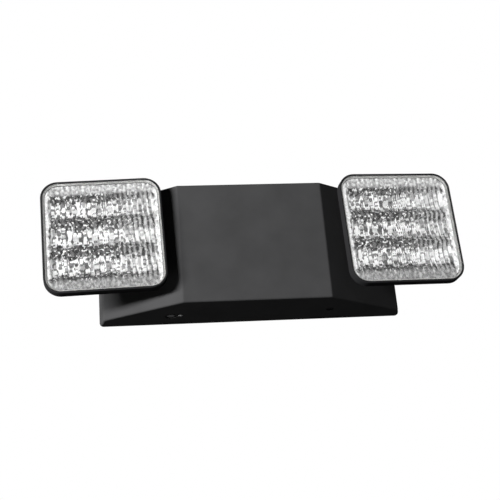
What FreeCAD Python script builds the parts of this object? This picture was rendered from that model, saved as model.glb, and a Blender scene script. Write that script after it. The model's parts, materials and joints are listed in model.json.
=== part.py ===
import FreeCAD, Part
import math
import os
import re

import Sketcher
from FreeCAD import Placement, Rotation, Vector

# Dual head emergency light, in millimetres.
# The origin is the centre of the back face, which lies against the wall.
# X runs to the right, Y into the wall, so that the front faces -Y, and Z up.

doc = FreeCAD.newDocument("EmergencyLight")
sheet = doc.addObject("Spreadsheet::Sheet", "Sizes")
worked = doc.addObject("App::VarSet", "Worked")

SIZES = [
    ("base_width", 234, "housing and back plate, side to side at the wall"),
    ("base_height", 95.5, "housing, bottom to top"),
    ("plate_thickness", 2, "back plate"),
    ("plate_corner", 3, "corner radius of the back plate"),
    ("flank_inset", 3.2, "how far each flank leans in over the skirt"),
    ("skirt_depth", 14, "wall to the start of the slope"),
    ("slope_width", 58.3, "each sloping end, from the flank to the front face"),
    ("front_depth", 48, "wall to the front face"),
    ("wall", 2.5, "wall of the front housing"),
    ("front_round", 3, "radius between front face and slope"),
    ("flank_round", 2, "radius between slope and flank"),
    ("face_round", 1.5, "radius along the top and bottom faces"),
    ("rib_height", 3, "stiffening ribs behind the front face"),
    ("rib_thickness", 1.4, "stiffening ribs and the back plate's lip"),
    ("rib_pitch", 32, "spacing of the stiffening ribs"),
    ("lip_height", 4, "lip of the back plate inside the housing"),
    ("lip_gap", 0.3, "clearance of the lip"),
    ("lip_stop", 8, "side lips, short of the top and bottom"),
    ("snap_place", 30, "centre of each snap arm from the middle"),
    ("snap_width", 10, "snap arm"),
    ("snap_reach", 12, "snap arm, out of the back plate"),
    ("snap_catch", 0.9, "how far the catch enters the housing's wall"),
    ("pry_inset", 59, "centre of each prying notch, in from the side"),
    ("pry_width", 25, "prying notch at the lower rear edge"),
    ("pry_depth", 1, "prying notch"),
    ("cable_radius", 11.1, "cable entry hole"),
    ("box_spacing", 83.3, "junction box screws, up and down"),
    ("box_hole", 2.5, "radius of the junction box screw holes"),
    ("fixing_inset", 19, "wall screws, in from the sides"),
    ("fixing_margin", 15.75, "wall screws, in from the top and bottom"),
    ("fixing_hole", 2.4, "radius of the wall screw holes"),
    ("pivot_inset", 5, "knuckle pivots, in from the sides of the housing"),
    ("head_rise", 5, "pivots above the middle of the housing"),
    ("head_turn", 2, "turn of both lamp heads about their turrets, degrees"),
    ("left_yaw", 0, "left head, turn about the vertical, degrees"),
    ("right_yaw", 5.2, "right head, turn about the vertical, degrees"),
    ("pivot_height", 16.8, "knuckle pivot above the sloping face"),
    ("turret_radius", 12, "turret flange"),
    ("turret_gap", 0.3, "under the turret flange"),
    ("flange_thickness", 4, "turret flange"),
    ("neck_radius", 6.5, "turret neck"),
    ("running_gap", 0.06, "radial clearance of what turns in a hole"),
    ("wire_bore", 3.5, "radius of the wire way through the turret"),
    ("boss_radius", 11.5, "turret seat inside the housing"),
    ("boss_height", 2.5, "turret seat, beyond the wall"),
    ("washer_thickness", 0.75, "spring washer under the retaining ring"),
    ("ring_radius", 10, "retaining ring"),
    ("ring_thickness", 1.2, "retaining ring"),
    ("ring_groove", 0.8, "depth of the ring's groove"),
    ("neck_tail", 1.5, "neck beyond the ring's groove"),
    ("ear_round", 6.5, "end radius of the fork's ears and of the lug"),
    ("ear_thickness", 4, "ear of the fork"),
    ("lug_width", 8, "lug on the back of the head, along the pivot"),
    ("friction_thickness", 0.8, "friction washer beside the lug"),
    ("friction_radius", 6, "friction washer"),
    ("play", 0.05, "between flat faces that slide"),
    ("bolt_radius", 2, "knuckle bolt"),
    ("bolt_head_radius", 3.6, "knuckle bolt's head"),
    ("bolt_head_height", 2.2, "knuckle bolt's head"),
    ("nut_radius", 4.04, "knuckle nut over its corners"),
    ("nut_height", 3.2, "knuckle nut"),
    ("head_width", 90, "square face of a lamp head"),
    ("head_corner", 13, "corner radius of a lamp head"),
    ("head_reach", 21, "pivot to the face of the lens"),
    ("rim_depth", 7, "straight rim of a lamp head"),
    ("head_depth", 14, "lamp head, lens face to back"),
    ("back_width", 60, "flat back of a lamp head"),
    ("back_corner", 11, "corner radius of the flat back"),
    ("rim_wall", 1.5, "rim around the lens"),
    ("rim_round", 0.6, "radius along the front edge of the rim"),
    ("dish_round", 2, "radius around the flat back"),
    ("ledge_width", 1.5, "ledge that the gasket lies on"),
    ("back_wall", 2, "back of the lamp head"),
    ("cavity_run", 6, "straight part of the head's hollow"),
    ("lens_thickness", 2.2, "lens"),
    ("gasket_thickness", 0.8, "gasket under the lens"),
    ("lens_gap", 0.1, "around the lens and other pieces that drop in"),
    ("flute_pitch", 3.8, "upright flutes inside the lens"),
    ("flute_count", 21, "upright flutes inside the lens"),
    ("flute_depth", 0.7, "upright flutes inside the lens"),
    ("drop_gap", 1.25, "around the pieces on the floor of a head's hollow"),
    ("spreader_thickness", 1.5, "heat spreader"),
    ("board_thickness", 1.6, "circuit boards"),
    ("diode_width", 3.5, "light-emitting diode, across"),
    ("diode_rise", 2.8, "light-emitting diode, up and down"),
    ("diode_height", 0.9, "light-emitting diode, proud of its board"),
    ("diode_pitch", 13, "diodes along a row"),
    ("trough_pitch", 23, "rows of diodes and their troughs"),
    ("trough_mouth", 21.5, "mouth of a reflector trough"),
    ("trough_floor", 7, "floor of a reflector trough"),
    ("trough_length", 65, "reflector trough"),
    ("trough_base", 1.2, "thickness under a trough"),
    ("button_inset", 53.5, "test button, in from the left side"),
    ("button_forward", 18.5, "test button and lamp from the wall"),
    ("button_radius", 3, "test button"),
    ("button_gap", 0.15, "around the test button"),
    ("button_travel", 1.5, "test button"),
    ("dimple_radius", 4.6, "dimple around the test button"),
    ("dimple_depth", 0.8, "dimple around the test button"),
    ("flange_rim", 1.1, "rim that keeps a button or light pipe in"),
    ("flange_rise", 0.8, "thickness of that rim"),
    ("stem_radius", 1.2, "stem of the test button"),
    ("lamp_spacing", 7, "charge indicator from the test button"),
    ("pipe_radius", 1.6, "light pipe of the charge indicator"),
    ("lock_inset", 58.7, "locking screw, in from the right side"),
    ("lock_forward", 21, "locking screw from the wall"),
    ("lock_radius", 1.45, "locking screw"),
    ("lock_head", 2.9, "radius of the locking screw's head"),
    ("lock_block", 8, "block that the locking screw goes into, each way"),
    ("shelf_drop", 13, "underside to the shelf over the test switch"),
    ("shelf_thickness", 2, "shelf over the test switch"),
    ("shelf_left", 7, "shelf, beyond the test button"),
    ("shelf_right", 10, "shelf, beyond the charge indicator"),
    ("shelf_front", 6, "shelf, in front of the test button"),
    ("shelf_edge", 1, "indicator board, in from the shelf's edges"),
    ("shelf_gap", 3, "shelf to the battery"),
    ("switch_width", 8, "test switch, each way across"),
    ("switch_height", 3.4, "test switch"),
    ("stem_reach", 0.6, "stem of the test button inside the switch"),
    ("plug_height", 6.5, "wire plugs, off their boards"),
    ("plug_width", 5.5, "wire plug on the indicator board, each way"),
    ("cell_radius", 7.2, "battery cell"),
    ("cell_length", 52, "battery cell"),
    ("cell_pitch", 14.3, "between battery cells"),
    ("battery_inset", 32, "battery, in from the left side"),
    ("strap_width", 12, "battery strap"),
    ("strap_thickness", 1.2, "battery strap"),
    ("cradle_height", 8, "ribs around the battery"),
    ("cradle_stop", 4, "ribs around the battery, short of its corners"),
    ("board_inset", 31, "circuit board, in from the right side"),
    ("board_width", 64, "circuit board"),
    ("board_rise", 66, "circuit board, bottom to top"),
    ("post_height", 6, "posts under the circuit board"),
    ("post_radius", 3.2, "posts under the circuit board"),
    ("post_inset", 4, "posts from the board's edges"),
    ("screw_radius", 1.15, "self-tapping screws"),
    ("screw_head", 2.6, "radius of their heads"),
    ("screw_head_height", 1.7, "height of their heads"),
    ("lead_radius", 1.1, "leads inside the housing"),
]

WORKED = [
    ("base_half", "base_width / 2"),
    ("rise_half", "base_height / 2"),
    ("flank_half", "base_half - flank_inset"),
    ("front_half", "flank_half - slope_width"),
    ("slope", "atan2(front_depth - skirt_depth; slope_width)"),
    ("lean", "atan2(flank_inset; skirt_depth)"),
    ("pivot_x", "base_half - pivot_inset"),
    ("seat_x", "pivot_x - pivot_height * sin(slope)"),
    ("seat_y", "-skirt_depth - (flank_half - seat_x) * tan(slope)"),
    ("pivot_y", "seat_y - pivot_height * cos(slope)"),
    ("inner_flank_x", "flank_half - wall * (sin(slope) + cos(lean)) / (1 + sin(slope + lean))"),
    ("inner_flank_y", "-skirt_depth + wall * (cos(slope) + sin(lean)) / (1 + sin(slope + lean))"),
    ("inner_front_x", "front_half - wall * tan(slope / 2)"),
    ("inner_rise", "rise_half - wall"),
    ("boss_depth", "wall + boss_height"),
    ("groove_top", "-boss_depth - washer_thickness - play"),
    ("groove_floor", "groove_top - ring_thickness - 2 * play"),
    ("neck_bottom", "groove_floor - neck_tail"),
    ("lug_half", "lug_width / 2"),
    ("ear_low", "lug_half + friction_thickness + 2 * play"),
    ("ear_high", "ear_low + ear_thickness"),
    ("lens_back", "head_reach - lens_thickness"),
    ("ledge", "lens_back - gasket_thickness"),
    ("back_plane", "head_reach - head_depth"),
    ("cavity_floor", "back_plane + back_wall"),
    ("lens_pocket", "head_width / 2 - rim_wall"),
    ("cavity_half", "lens_pocket - ledge_width"),
    ("cavity_bend", "head_reach - cavity_run"),
    ("floor_half", "back_width / 2 - ledge_width * 2"),
    ("board_plane", "cavity_floor + spreader_thickness"),
    ("diode_plane", "board_plane + board_thickness"),
    ("reflector_front", "ledge + gasket_thickness / 2"),
    ("splay", "(cavity_half - floor_half) / (cavity_bend - cavity_floor)"),
    ("spreader_half", "floor_half - drop_gap"),
    ("led_board_half", "floor_half + (board_plane - cavity_floor) * splay - drop_gap"),
    ("foot_half", "floor_half + (diode_plane - cavity_floor) * splay - drop_gap"),
    ("inner_corner", "head_corner - rim_wall - ledge_width"),
    ("floor_corner", "back_corner - ledge_width * 2"),
    ("pry_place", "base_half - pry_inset"),
    ("button_place", "button_inset - base_half"),
    ("lamp_place", "button_place + lamp_spacing"),
    ("lock_place", "base_half - lock_inset"),
    ("button_face", "-rise_half + button_gap"),
    ("shelf_bottom", "-rise_half + shelf_drop"),
    ("indicator_face", "shelf_bottom - board_thickness"),
    ("switch_face", "indicator_face - switch_height"),
    ("plug_place", "lamp_place + shelf_right - shelf_edge - plug_width / 2"),
    ("button_rim_top", "-inner_rise + play + flange_rise"),
    ("battery_front", "plate_thickness + lens_gap * 2 + cell_radius * 2"),
    ("stack_half", "cell_pitch * 1.5 + cell_radius"),
    ("battery_place", "battery_inset + stack_half - base_half"),
    ("battery_low", "shelf_bottom + shelf_thickness + shelf_gap"),
    ("battery_middle", "battery_low + cell_length / 2"),
    ("board_left", "base_half - board_inset - board_width"),
    ("board_back", "-plate_thickness - post_height"),
    ("board_front", "board_back - board_thickness"),
    ("snap_left", "snap_place - snap_width / 2"),
    ("snap_right", "snap_place + snap_width / 2"),
    ("snap_end", "-plate_thickness - snap_reach"),
    ("lip_lean", "(plate_thickness + lip_height) * tan(lean)"),
    ("lip_side", "base_half - (wall + lip_gap) / cos(lean) - lip_lean"),
]

ALIASES = {alias for alias, _, _ in SIZES}
DERIVED = {name for name, _ in WORKED}
SIDES = (("left", -1), ("right", 1))
nodes = []


def formula(text):
    """An expression with the sheet or the worked set named in front of each of its sizes."""
    def named(found):
        word = found.group()
        if word in ALIASES:
            return "Sizes." + word
        return "Worked." + word if word in DERIVED else word
    return re.sub(r"[a-z][a-z0-9_]*", named, str(text))


def size(name):
    """The present value of a size, driving or worked out."""
    return float(sheet.get(name)) if name in ALIASES else float(getattr(worked, name))


def fill_sheet():
    for row, (alias, number, note) in enumerate(SIZES, 1):
        sheet.set(f"A{row}", note)
        sheet.set(f"B{row}", str(number))
        sheet.setAlias(f"B{row}", alias)
    doc.recompute()
    for name, text in WORKED:
        worked.addProperty("App::PropertyFloat", name)
        worked.setExpression(name, formula(text))
    doc.recompute()


def bind(thing, formulas):
    for path, text in formulas.items():
        thing.setExpression(path, formula(text))


def new_body(label, frame=None):
    """An empty body for one piece, in the housing's frame or in one that is given as a formula."""
    body = doc.addObject("PartDesign::Body", label)
    body.Label = label
    if frame:
        bind(body, {"Placement": frame})
    nodes.append(body)
    return body


def box(body, name, x, y, z, cut=False):
    """A box between two limits each way, added to the body or cut from it."""
    solid = body.newObject("PartDesign::SubtractiveBox" if cut else "PartDesign::AdditiveBox", name)
    for side, axis, (low, high) in (("Length", "x", x), ("Width", "y", y), ("Height", "z", z)):
        bind(solid, {side: f"({high}) - ({low})", f"Placement.Base.{axis}": low})
    return solid


WAYS = {
    "+X": Rotation(Vector(0, 1, 0), 90),
    "+Y": Rotation(Vector(1, 0, 0), -90),
    "-Y": Rotation(Vector(1, 0, 0), 90),
    "+Z": Rotation(),
}


def mirrored(low, high, way):
    """Two limits as they are, or the same two on the other side of zero."""
    return (low, high) if way > 0 else (f"-({high})", f"-({low})")


def bar(body, name, radius, start, length, way="+Z", cut=False, frame=None, corners=0):
    """A round bar, or a prism with some corners, from a start along an axis or along a frame's Z."""
    shape = "Prism" if corners else "Cylinder"
    solid = body.newObject(f"PartDesign::{'Subtractive' if cut else 'Additive'}{shape}", name)
    bind(solid, {"Circumradius" if corners else "Radius": radius, "Height": length})
    if corners:
        solid.Polygon = corners
    if frame:
        bind(solid, {"Placement": frame})
        return solid
    solid.Placement = Placement(Vector(), WAYS[way])
    for axis, place in zip("xyz", start):
        bind(solid, {f"Placement.Base.{axis}": place})
    return solid


def washer(body, name, outer, inner, start, thickness, way="+Z"):
    bar(body, name, outer, start, thickness, way)
    bar(body, name + "_hole", inner, start, thickness, way, cut=True)


def new_sketch(body, name, plane, offset):
    """An empty sketch on one of the body's own planes, moved along the plane's normal."""
    sketch = body.newObject("Sketcher::SketchObject", name)
    origin_plane = [item for item in body.Origin.OriginFeatures if item.Role == plane][0]
    sketch.AttachmentSupport = [(origin_plane, "")]
    sketch.MapMode = "FlatFace"
    bind(sketch, {"AttachmentOffset.Base.z": offset})
    return sketch


def fix_point(sketch, curve, end, x, y):
    """Tie one point of a curve to the sketch's origin by two formulas."""
    now = sketch.getPoint(curve, end)
    for kind, value, text in (("DistanceX", now.x, x), ("DistanceY", now.y, y)):
        index = sketch.addConstraint(Sketcher.Constraint(kind, -1, 1, curve, end, value))
        bind(sketch, {f"Constraints[{index}]": text})


def polygon(body, name, plane, points, offset="0"):
    """A closed outline of straight lines through points given as formulas."""
    sketch = new_sketch(body, name, plane, offset)
    count = len(points)
    first = [Vector(10 * math.cos(turn), 10 * math.sin(turn), 0)
             for turn in (2 * math.pi * step / count for step in range(count))]
    for step in range(count):
        sketch.addGeometry(Part.LineSegment(first[step], first[(step + 1) % count]), False)
    for step in range(count):
        sketch.addConstraint(Sketcher.Constraint("Coincident", step, 2, (step + 1) % count, 1))
    for step, (x, y) in enumerate(points):
        fix_point(sketch, step, 1, x, y)
    return sketch


def rounded(body, name, plane, offset, half_x, half_y, radius):
    """A rectangle about the origin with four round corners."""
    sketch = new_sketch(body, name, plane, offset)
    signs = ((-1, -1), (1, -1), (1, 1), (-1, 1))
    quarter = math.pi / 2
    for step, (right, up) in enumerate(signs):
        start = math.pi + step * quarter
        corner = Part.Circle(Vector(right * 10, up * 10, 0), Vector(0, 0, 1), 3)
        sketch.addGeometry(Part.ArcOfCircle(corner, start, start + quarter), False)
    for step in range(4):
        ends = sketch.getPoint(step, 2), sketch.getPoint((step + 1) % 4, 1)
        sketch.addGeometry(Part.LineSegment(*ends), False)
    for step, (right, up) in enumerate(signs):
        sketch.addConstraint(Sketcher.Constraint("Coincident", step, 2, 4 + step, 1))
        sketch.addConstraint(Sketcher.Constraint("Coincident", 4 + step, 2, (step + 1) % 4, 1))
        fix_point(sketch, step, 3, f"{right} * ({half_x} - {radius})", f"{up} * ({half_y} - {radius})")
        index = sketch.addConstraint(Sketcher.Constraint("Radius", step, 3))
        bind(sketch, {f"Constraints[{index}]": radius})
        level = ("Horizontal", "Vertical") if step % 2 == 0 else ("Vertical", "Horizontal")
        for end, kind in zip((1, 2), level):
            sketch.addConstraint(Sketcher.Constraint(kind, step, end, step, 3))
    return sketch


def pad(body, name, sketch, length, both_ways=False):
    solid = body.newObject("PartDesign::Pad", name)
    solid.Profile = sketch
    solid.Midplane = both_ways
    bind(solid, {"Length": length})
    return solid


def pocket(body, name, sketch, length, both_ways=False):
    """A pocket against the sketch's normal, or to both sides of it."""
    solid = body.newObject("PartDesign::Pocket", name)
    solid.Profile = sketch
    solid.Midplane = both_ways
    bind(solid, {"Length": length})
    return solid


def loft(body, name, first, last, cut=False):
    solid = body.newObject("PartDesign::SubtractiveLoft" if cut else "PartDesign::AdditiveLoft", name)
    solid.Profile = first
    solid.Sections = [last]
    solid.Ruled = True
    return solid


def fillet(body, name, radius, wanted):
    """Round the edges of the body's last feature that a test picks."""
    doc.recompute()
    last = body.Tip
    chosen = [f"Edge{number}" for number, edge in enumerate(last.Shape.Edges, 1) if wanted(edge)]
    solid = body.newObject("PartDesign::Fillet", name)
    solid.Base = (last, chosen)
    bind(solid, {"Radius": radius})
    return solid


def near(first, second):
    return abs(first - second) < 1e-4


# Front housing

def swivel_frame(side, lift, turn="0"):
    """A frame with its Z out of the sloping face along a turret's axis, and its Y up."""
    return (f"placement(vector({side} * (seat_x + ({lift}) * sin(slope)); "
            f"seat_y - ({lift}) * cos(slope); head_rise); "
            f"rotation(vector(0; 0; 1); {side} * slope) * rotation(vector(1; 0; 0); 90) "
            f"* rotation(vector(0; 0; 1); {turn}))")


def make_front_housing():
    body = new_body("front_housing")
    rim = ("base_half - flank_inset * plate_thickness / skirt_depth", "-plate_thickness")
    flank = ("flank_half", "-skirt_depth")
    front = ("front_half", "-front_depth")
    right = [rim, flank, front]
    left = [(f"-({x})", y) for x, y in reversed(right)]
    plan = polygon(body, "housing_plan", "XY_Plane", right + left)
    pad(body, "housing_block", plan, "base_height", True)

    def upright(edge, depth):
        ends = [vertex.Point for vertex in edge.Vertexes]
        return (len(ends) == 2 and near(ends[0].x, ends[1].x) and near(ends[0].y, -depth)
                and near(ends[1].y, -depth) and not near(ends[0].z, ends[1].z))

    def long_edge(edge):
        level = all(near(abs(vertex.Z), size("rise_half")) for vertex in edge.Vertexes)
        rear = all(near(vertex.Y, -size("plate_thickness")) for vertex in edge.Vertexes)
        return level and not rear

    fillet(body, "front_edges", "front_round", lambda edge: upright(edge, size("front_depth")))
    fillet(body, "flank_edges", "flank_round", lambda edge: upright(edge, size("skirt_depth")))
    fillet(body, "long_edges", "face_round", long_edge)

    rim = ("base_half - wall / cos(lean)", "0")
    inner = [rim, ("inner_flank_x", "inner_flank_y"), ("inner_front_x", "-front_depth + wall")]
    other = [(f"-({x})", y) for x, y in reversed(inner)]
    hollow = polygon(body, "hollow_plan", "XY_Plane", inner + other)
    pocket(body, "hollow", hollow, "2 * inner_rise", True)

    for step in (-1, 0, 1):
        box(body, "stiffening_rib",
            (f"{step} * rib_pitch - rib_thickness / 2", f"{step} * rib_pitch + rib_thickness / 2"),
            ("-front_depth + wall / 2", "-front_depth + wall + rib_height"),
            ("-inner_rise - wall / 2", "inner_rise + wall / 2"))
    for _, side in SIDES:
        bar(body, "turret_seat", "boss_radius", None, "boss_height + wall / 2",
            frame=swivel_frame(side, "-boss_depth"))
        bar(body, "turret_hole", "neck_radius + running_gap", None, "boss_depth + 2",
            frame=swivel_frame(side, "-boss_depth - 1"), cut=True)
        box(body, "prying_notch",
            (f"{side} * pry_place - pry_width / 2", f"{side} * pry_place + pry_width / 2"),
            ("-plate_thickness - 2 * pry_depth", "0"),
            ("-rise_half - 1", "-rise_half + pry_depth"), cut=True)
        for way in (-1, 1):
            box(body, "snap_slot", mirrored("snap_left - lip_gap", "snap_right + lip_gap", side),
                ("snap_end - lip_gap", "snap_end + 3 * snap_catch"),
                mirrored("inner_rise - 1", "inner_rise + snap_catch + lip_gap / 2", way), cut=True)

    under = ("button_place", "-button_forward", "-rise_half - 1")
    bar(body, "button_hole", "button_radius + button_gap", under, "wall + 2", cut=True)
    bar(body, "button_dimple", "dimple_radius", under, "dimple_depth + 1", cut=True)
    beside = ("lamp_place", "-button_forward", "-rise_half - 1")
    bar(body, "lamp_hole", "pipe_radius + button_gap", beside, "wall + 2", cut=True)
    lock = ("lock_place", "-lock_forward", "-rise_half - 1")
    bar(body, "lock_hole", "lock_radius + button_gap", lock, "wall + 2", cut=True)
    bar(body, "lock_counterbore", "lock_head + button_gap", lock, "wall / 2 + 1", cut=True)


# Back plate

def make_back_plate():
    body = new_body("back_plate")
    outline = rounded(body, "plate_outline", "XZ_Plane", "0", "base_half", "rise_half", "plate_corner")
    pad(body, "plate", outline, "plate_thickness")
    face = "-plate_thickness"
    lip_top = "inner_rise - lip_gap"
    lip_low = f"{lip_top} - rib_thickness"
    arm = "snap_width / 2 + 1"
    for way in (-1, 1):
        height = mirrored(lip_low, lip_top, way)
        for _, side in SIDES:
            for near_end, far_end in (("box_hole + rib_thickness", f"snap_place - ({arm})"),
                                      (f"snap_place + {arm}", "flank_half - skirt_depth")):
                box(body, "lip", mirrored(near_end, far_end, side), (f"{face} - lip_height", face), height)
            across = mirrored("snap_left", "snap_right", side)
            box(body, "snap_arm", across, ("snap_end", face), height)
            box(body, "snap_catch", across, ("snap_end", "snap_end + 2 * snap_catch"),
                mirrored("inner_rise - lip_gap - 0.1", "inner_rise + snap_catch", way))
    for _, side in SIDES:
        box(body, "side_lip", mirrored("lip_side - rib_thickness", "lip_side", side),
            (f"{face} - lip_height", face), ("-inner_rise + lip_stop", "inner_rise - lip_stop"))

    add_battery_cradle(body, face)
    for x, z in board_corners():
        bar(body, "board_post", "post_radius", (x, face, z), "post_height", "-Y")
        bar(body, "post_hole", "screw_radius + play", (x, "-plate_thickness - post_height - 1", z),
            "post_height + 1", "+Y", cut=True)
    add_underside_brackets(body, face)

    bar(body, "cable_entry", "cable_radius", ("0", "1", "0"), "plate_thickness + 2", "-Y", cut=True)
    for way in (-1, 1):
        bar(body, "box_screw_hole", "box_hole", ("0", "1", f"{way} * box_spacing / 2"),
            "plate_thickness + 2", "-Y", cut=True)
        for _, side in SIDES:
            bar(body, "wall_screw_hole", "fixing_hole",
                (f"{side} * (base_half - fixing_inset)", "1", f"{way} * (rise_half - fixing_margin)"),
                "plate_thickness + 2", "-Y", cut=True)


def add_battery_cradle(body, face):
    """Low ribs around the battery, with gaps at its sides for the strap."""
    deep = (f"{face} - cradle_height", face)
    end = "cell_length / 2 + lens_gap * 2"
    edge = "stack_half + lens_gap * 2"
    for way in (-1, 1):
        low, high = mirrored(end, f"{end} + rib_thickness", way)
        across = "stack_half - cradle_stop"
        box(body, "cradle_end", (f"battery_place - ({across})", f"battery_place + {across}"), deep,
            (f"battery_middle + ({low})", f"battery_middle + ({high})"))
        for _, side in SIDES:
            left, right = mirrored(edge, f"{edge} + rib_thickness", side)
            low, high = mirrored("strap_width / 2 + rib_thickness", "cell_length / 2 - cradle_stop", way)
            box(body, "cradle_side", (f"battery_place + ({left})", f"battery_place + ({right})"), deep,
                (f"battery_middle + ({low})", f"battery_middle + ({high})"))


def add_underside_brackets(body, face):
    """The shelf over the test switch and the block that the locking screw goes into."""
    box(body, "switch_shelf", ("button_place - shelf_left", "lamp_place + shelf_right"),
        ("-button_forward - shelf_front", face), ("shelf_bottom", "shelf_bottom + shelf_thickness"))
    box(body, "lock_block", ("lock_place - lock_block / 2", "lock_place + lock_block / 2"),
        ("-lock_forward - lock_block / 2", face), ("-inner_rise + lip_gap / 2", "-inner_rise + lock_block"))
    bar(body, "lock_pilot", "lock_radius + play", ("lock_place", "-lock_forward", "-rise_half"),
        "wall + lock_block - 1", cut=True)


def make_locking_screw():
    body = new_body("locking_screw")
    place = ("lock_place", "-lock_forward")
    bar(body, "screw_shank", "lock_radius", (*place, "-rise_half + 1"), "wall + lock_block - 3")
    bar(body, "screw_head", "lock_head", (*place, "-rise_half + 0.05"), "wall / 2 - 0.1")
    box(body, "screw_slot", ("lock_place - lock_head", "lock_place + lock_head"),
        ("-lock_forward - 0.4", "-lock_forward + 0.4"), ("-rise_half", "-rise_half + 0.6"), cut=True)


# Battery and circuit board

def make_battery():
    body = new_body("battery_pack")
    axis = "-(battery_front - cell_radius)"
    for step in (-1.5, -0.5, 0.5, 1.5):
        middle = f"battery_place + {step} * cell_pitch"
        bar(body, "cell", "cell_radius", (middle, axis, "battery_low"), "cell_length")
    box(body, "wrap", ("battery_place - cell_pitch * 1.5", "battery_place + cell_pitch * 1.5"),
        (f"{axis} - cell_radius * 0.8", f"{axis} + cell_radius * 0.8"),
        ("battery_low + 1", "battery_low + cell_length - 1"))

    strap = new_body("battery_strap")
    height = ("battery_middle - strap_width / 2", "battery_middle + strap_width / 2")
    inner = "stack_half + lens_gap * 3"
    outer = f"{inner} + strap_thickness"
    front = "-(battery_front + lens_gap * 2)"
    for _, side in SIDES:
        left, right = mirrored(inner, outer, side)
        box(strap, "strap_leg", (f"battery_place + ({left})", f"battery_place + ({right})"),
            (f"{front} - strap_thickness", "-plate_thickness"), height)
    box(strap, "strap_bridge", (f"battery_place - ({outer})", f"battery_place + {outer}"),
        (f"{front} - strap_thickness", front), height)


def board_corners():
    """The four posts of the circuit board, as pairs of formulas for X and Z."""
    columns = ("board_left + post_inset", "board_left + board_width - post_inset")
    rows = ("-board_rise / 2 + post_inset", "board_rise / 2 - post_inset")
    return [(x, z) for x in columns for z in rows]


def make_circuit_board():
    body = new_body("circuit_board")
    box(body, "laminate", ("board_left", "board_left + board_width"), ("board_front", "board_back"),
        ("-board_rise / 2", "board_rise / 2"))
    for x, z in board_corners():
        bar(body, "screw_hole", "screw_radius + lip_gap", (x, "board_front - 1", z),
            "board_thickness + 2", "+Y", cut=True)
    screws = new_body("board_screws")
    for x, z in board_corners():
        bar(screws, "shank", "screw_radius", (x, "board_front - screw_head_height / 2", z),
            "board_thickness + post_height - 1", "+Y")
        bar(screws, "head", "screw_head", (x, "board_front", z), "screw_head_height", "-Y")


def on_board(body, name, across, off, up, cut=False):
    """A box on the circuit board: from its left edge, off its face, and from its middle upward."""
    left, right = across
    low, high = off
    return box(body, name, (f"board_left + {left}", f"board_left + {right}"),
               (f"board_front - {high}", f"board_front - {low}"), up, cut)


# Plain box-shaped parts: across from the board's left edge, off its face, and up from its middle
BOARD_PARTS = {
    "relay": ((42, 61), (0, 15), (8, 23.5)),
    "terminal_block": ((2, 17), (0, 10), (-23, -15)),
    "battery_plug": ((1, 8), (0, "plug_height"), (12, 20)),
    "lamp_plugs": ((20, 34), (0, "plug_height"), (25.5, 32)),
    "regulator": ((26, 36), (0, 12), (-18.4, -14.05)),
}


def make_board_parts():
    for label, (across, off, up) in BOARD_PARTS.items():
        on_board(new_body(label), label + "_case", across, off, up)
    terminal = doc.getObject("terminal_block")
    for step in (4.5, 9.5, 14.5):
        bar(terminal, "clamp_well", "1.6", (f"board_left + {step}", "board_front - 11", "-19"), "5", "+Y",
            cut=True)

    core = new_body("transformer_core")
    on_board(core, "stack", (6, 36), (7, 17), (-2, 22))
    for window in ((11, 16), (26, 31)):
        on_board(core, "window", window, (6, 18), (3, 17), cut=True)
    winding = new_body("transformer_winding")
    on_board(winding, "coil", (11.1, 30.9), (0, 22), (3.1, 16.9))
    on_board(winding, "core_way", (15.9, 26.1), (6.9, 17.1), (2, 18), cut=True)

    capacitors = new_body("capacitors")
    for step in (-6, -19):
        bar(capacitors, "can", "5", ("board_left + 50", "board_front", step), "16", "-Y")
    sink = new_body("heat_sink")
    on_board(sink, "plate", (22, 40), (0, 14), (-14, -12))
    for step in range(5):
        on_board(sink, "fin", (f"22 + {step} * 4.2", f"23.2 + {step} * 4.2"), (0, 14), (-12.5, -7))
    fuse = new_body("fuse")
    bar(fuse, "tube", "2.4", ("board_left + 21", "board_front - 2.9", "-26"), "18", "+X")
    for start in (20, 35):
        bar(fuse, "cap", "2.8", (f"board_left + {start}", "board_front - 2.9", "-26"), "5", "+X")


# Test switch and charge indicator

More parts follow.
